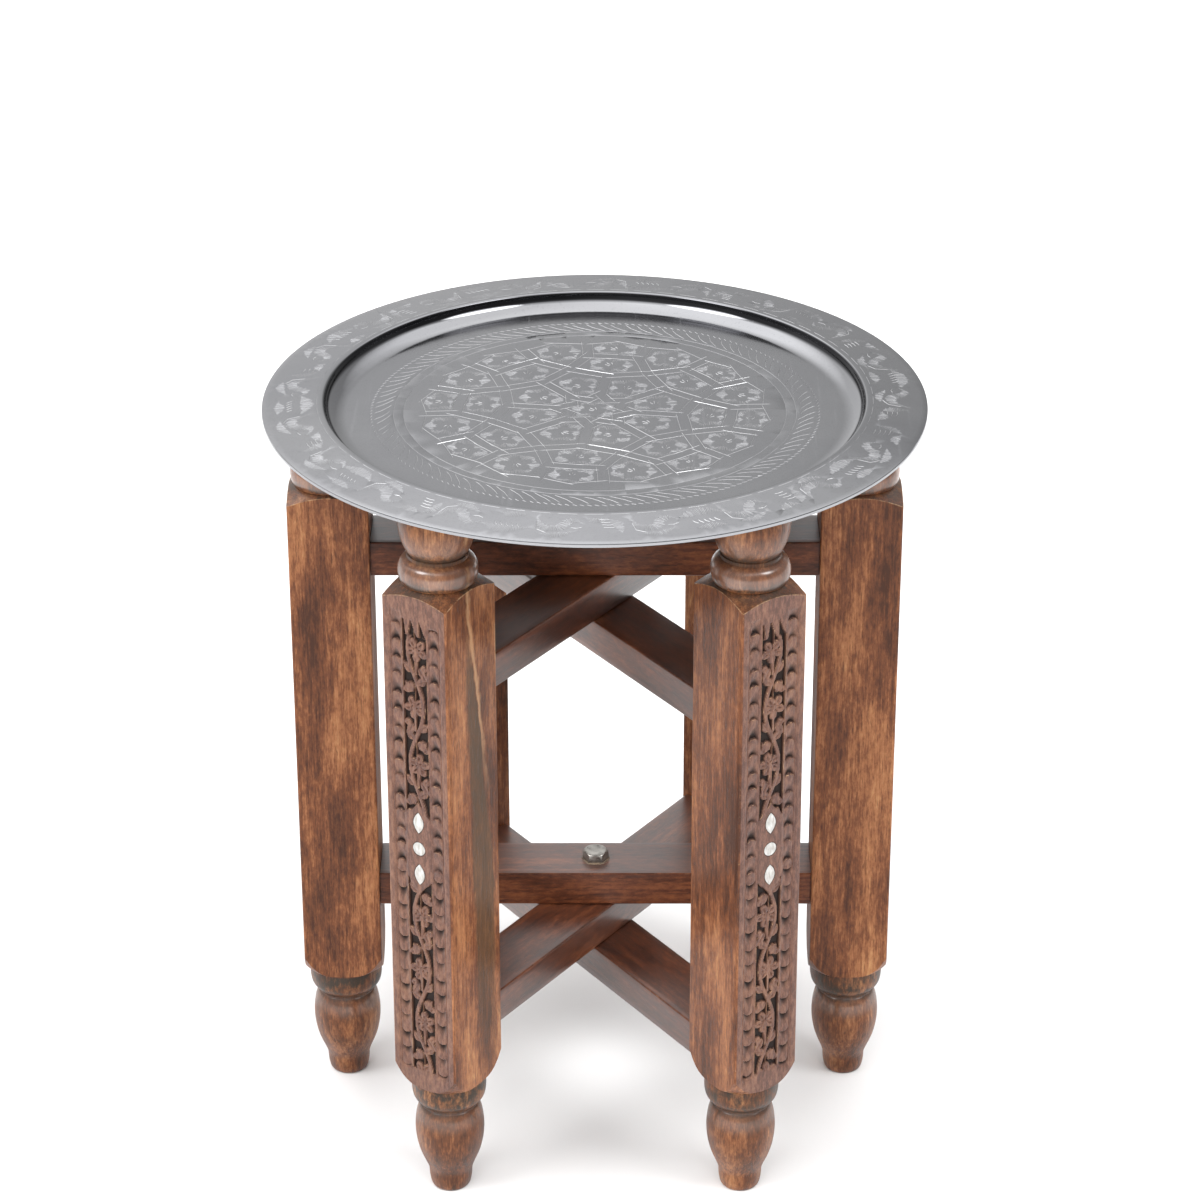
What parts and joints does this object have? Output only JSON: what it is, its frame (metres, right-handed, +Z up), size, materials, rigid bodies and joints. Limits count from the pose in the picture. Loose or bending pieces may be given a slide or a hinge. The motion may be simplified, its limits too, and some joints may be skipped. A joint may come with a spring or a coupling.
{
  "type": "folding tray table",
  "caption": "Low side table: a round engraved metal tray resting loose on a folding stand of turned and carved wooden legs that pivot about one upright axis.",
  "frame": {"origin": "on the floor under the upright pivot axis, at the middle of the stand", "axes": "+Z up along the pivot axis; +X along the frame with the highest crossbars, towards its right leg; +Y away from the viewer"},
  "size_m": [0.5, 0.5, 0.5975],
  "materials": {
    "tray_metal": "nickel-plated, polished and hand-engraved",
    "timber": "dark brown stain under satin wax, worn at the arrises",
    "bolt_steel": "dull, stained zinc",
    "shell": "polished white shell inlay"
  },
  "bodies": {
    "frame_a": {"leg_a_right": "timber", "inlay_a_right_top": "shell", "inlay_a_right_dot": "shell", "inlay_a_right_bottom": "shell", "leg_a_left": "timber", "inlay_a_left_top": "shell", "inlay_a_left_dot": "shell", "inlay_a_left_bottom": "shell", "bar_a_upper": "timber", "bar_a_lower": "timber", "pivot_bolt_upper": "bolt_steel", "pivot_washer_upper": "bolt_steel", "pivot_nut_upper": "bolt_steel", "pivot_bolt_lower": "bolt_steel", "pivot_washer_lower": "bolt_steel", "pivot_nut_lower": "bolt_steel"},
    "frame_b": {"leg_b_back": "timber", "inlay_b_back_top": "shell", "inlay_b_back_dot": "shell", "inlay_b_back_bottom": "shell", "leg_b_front": "timber", "inlay_b_front_top": "shell", "inlay_b_front_dot": "shell", "inlay_b_front_bottom": "shell", "bar_b_upper": "timber", "bar_b_lower": "timber"},
    "frame_c": {"leg_c_back": "timber", "inlay_c_back_top": "shell", "inlay_c_back_dot": "shell", "inlay_c_back_bottom": "shell", "leg_c_front": "timber", "inlay_c_front_top": "shell", "inlay_c_front_dot": "shell", "inlay_c_front_bottom": "shell", "bar_c_upper": "timber", "bar_c_lower": "timber"},
    "tray": {"tray": "tray_metal"}
  },
  "joints": [
    {"name": "frame_b_fold", "type": "hinge", "parent": "frame_a", "child": "frame_b", "pos_m": [0, 0, 0.3], "axis": [0, 0, 1], "range_deg": [-36, 24]},
    {"name": "frame_c_fold", "type": "hinge", "parent": "frame_a", "child": "frame_c", "pos_m": [0, 0, 0.3], "axis": [0, 0, 1], "range_deg": [-24, 36]},
    {"name": "tray_lift", "type": "slide", "parent": "frame_a", "child": "tray", "axis": [0, 0, 1], "range_m": [0, 0.15]}
  ]
}
